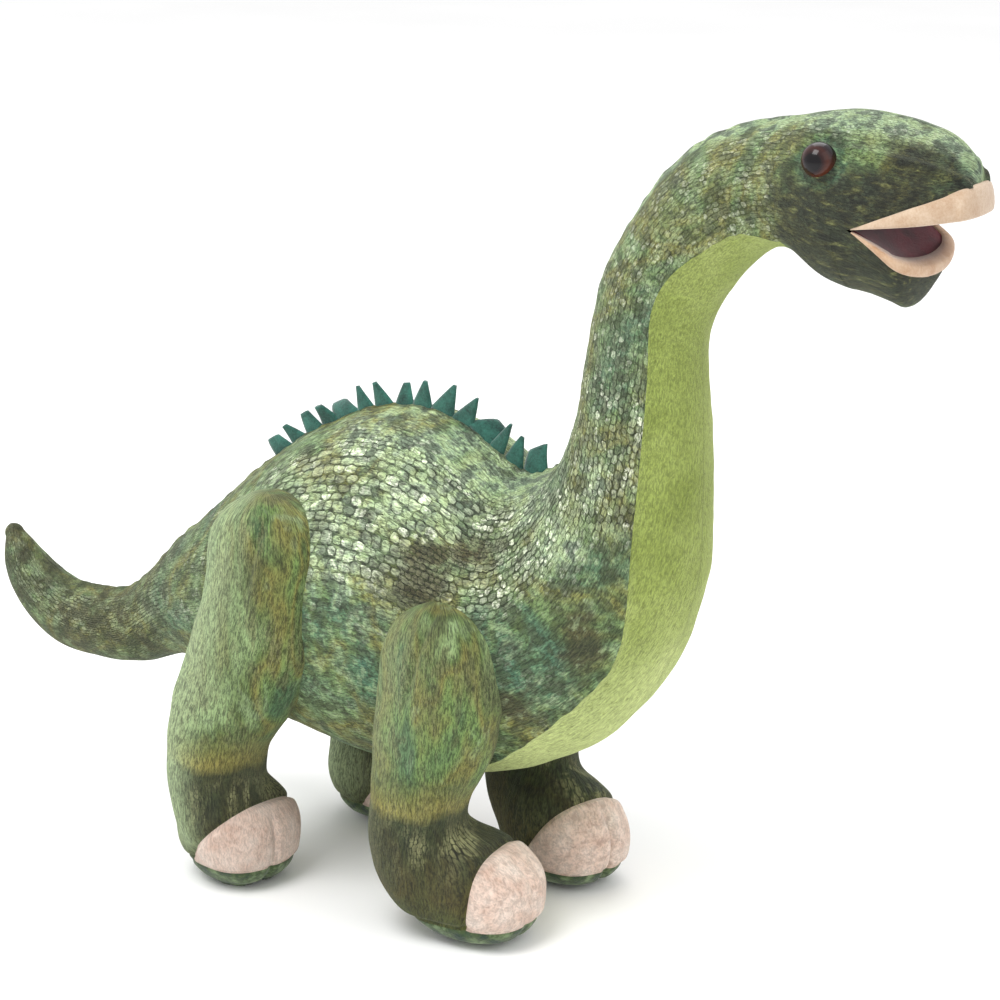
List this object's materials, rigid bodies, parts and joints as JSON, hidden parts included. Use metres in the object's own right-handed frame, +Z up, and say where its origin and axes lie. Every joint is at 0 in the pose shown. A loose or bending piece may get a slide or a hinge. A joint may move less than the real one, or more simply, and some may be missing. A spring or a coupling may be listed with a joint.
{
  "type": "stuffed dinosaur",
  "caption": "Standing plush long-necked dinosaur with printed scale panels, lime throat and belly panel, felt back spikes, felt lips, domed eyes and a raised curled tail.",
  "frame": {"origin": "on the floor, below the middle of the bounding box", "axes": "+X towards the nose, +Y towards the animal's left, +Z up"},
  "size_m": [0.4304, 0.1312, 0.3194],
  "materials": {
    "scale_plush": "short-pile plush printed with mottled green scales and thin foil highlights",
    "lime_plush": "short lime-green velour pile",
    "toe_plush": "fluffy pinkish-cream plush",
    "spike_felt": "teal felt",
    "lip_felt": "cream felt",
    "mouth_felt": "dark maroon felt",
    "stuffing": "polyester fibre filling",
    "eye_plastic": "glossy dark brown with a black pupil",
    "washer_plastic": "natural plastic"
  },
  "bodies": {
    "trunk": {"back_spikes": "spike_felt", "trunk_front_panel": "lime_plush", "trunk_panel_left": "scale_plush", "trunk_panel_right": "scale_plush", "trunk_stuffing": "stuffing"},
    "tail_base": {"tail_base_panel_left": "scale_plush", "tail_base_panel_right": "scale_plush", "tail_base_stuffing": "stuffing"},
    "tail_tip": {"tail_tip_panel_left": "scale_plush", "tail_tip_panel_right": "scale_plush", "tail_tip_stuffing": "stuffing"},
    "neck_lower": {"neck_lower_front_panel": "lime_plush", "neck_lower_panel_left": "scale_plush", "neck_lower_panel_right": "scale_plush", "neck_lower_stuffing": "stuffing"},
    "neck_upper": {"neck_upper_front_panel": "lime_plush", "neck_upper_panel_left": "scale_plush", "neck_upper_panel_right": "scale_plush", "neck_upper_stuffing": "stuffing"},
    "head": {"crown_gusset": "scale_plush", "eye_left": "eye_plastic", "eye_right": "eye_plastic", "eye_washer_left": "washer_plastic", "eye_washer_right": "washer_plastic", "head_panel_left": "scale_plush", "head_panel_right": "scale_plush", "head_stuffing": "stuffing", "palate_lining": "mouth_felt", "upper_lip": "lip_felt"},
    "jaw": {"chin_panel": "scale_plush", "jaw_stuffing": "stuffing", "lower_lip": "lip_felt", "mouth_lining": "mouth_felt"},
    "front_right_leg": {"front_right_leg_inner_panel": "scale_plush", "front_right_leg_outer_panel": "scale_plush", "front_right_leg_stuffing": "stuffing", "front_right_sole": "scale_plush", "front_right_toe_cap": "toe_plush"},
    "front_left_leg": {"front_left_leg_inner_panel": "scale_plush", "front_left_leg_outer_panel": "scale_plush", "front_left_leg_stuffing": "stuffing", "front_left_sole": "scale_plush", "front_left_toe_cap": "toe_plush"},
    "hind_right_leg": {"hind_right_leg_inner_panel": "scale_plush", "hind_right_leg_outer_panel": "scale_plush", "hind_right_leg_stuffing": "stuffing", "hind_right_sole": "scale_plush", "hind_right_toe_cap": "toe_plush"},
    "hind_left_leg": {"hind_left_leg_inner_panel": "scale_plush", "hind_left_leg_outer_panel": "scale_plush", "hind_left_leg_stuffing": "stuffing", "hind_left_sole": "scale_plush", "hind_left_toe_cap": "toe_plush"}
  },
  "joints": [
    {"name": "neck_pitch", "type": "hinge", "parent": "trunk", "child": "neck_lower", "pos_m": [0.092, 0, 0.178], "axis": [0, 1, 0], "range_deg": [-10, 10], "stiffness_Nm_per_rad": 2, "springref_deg": -0.52},
    {"name": "neck_lean", "type": "hinge", "parent": "neck_lower", "child": "neck_upper", "pos_m": [0.094, 0, 0.224], "axis": [1, 0, 0], "range_deg": [-12, 12], "stiffness_Nm_per_rad": 1.5},
    {"name": "head_nod", "type": "hinge", "parent": "neck_upper", "child": "head", "pos_m": [0.139, 0, 0.29], "axis": [0, 1, 0], "range_deg": [-15, 15], "stiffness_Nm_per_rad": 1, "springref_deg": -0.34},
    {"name": "jaw_drop", "type": "hinge", "parent": "head", "child": "jaw", "pos_m": [0.182, 0, 0.283], "axis": [0, 1, 0], "range_deg": [-8, 8], "stiffness_Nm_per_rad": 0.3},
    {"name": "tail_swish", "type": "hinge", "parent": "trunk", "child": "tail_base", "pos_m": [-0.115, 0, 0.096], "axis": [0, 0, 1], "range_deg": [-20, 20], "stiffness_Nm_per_rad": 0.8},
    {"name": "tail_curl", "type": "hinge", "parent": "tail_base", "child": "tail_tip", "pos_m": [-0.163, 0, 0.078], "axis": [0, 1, 0], "range_deg": [-20, 20], "stiffness_Nm_per_rad": 0.5},
    {"name": "front_right_swing", "type": "hinge", "parent": "trunk", "child": "front_right_leg", "pos_m": [0.033, -0.046, 0.109], "axis": [0, 1, 0], "range_deg": [-14, 7], "stiffness_Nm_per_rad": 1.2},
    {"name": "front_left_swing", "type": "hinge", "parent": "trunk", "child": "front_left_leg", "pos_m": [0.033, 0.046, 0.109], "axis": [0, 1, 0], "range_deg": [-14, 7], "stiffness_Nm_per_rad": 1.2},
    {"name": "hind_right_swing", "type": "hinge", "parent": "trunk", "child": "hind_right_leg", "pos_m": [-0.045, -0.046, 0.138], "axis": [0, 1, 0], "range_deg": [-6, 14], "stiffness_Nm_per_rad": 1.2},
    {"name": "hind_left_swing", "type": "hinge", "parent": "trunk", "child": "hind_left_leg", "pos_m": [-0.045, 0.046, 0.138], "axis": [0, 1, 0], "range_deg": [-3, 14], "stiffness_Nm_per_rad": 1.2}
  ]
}
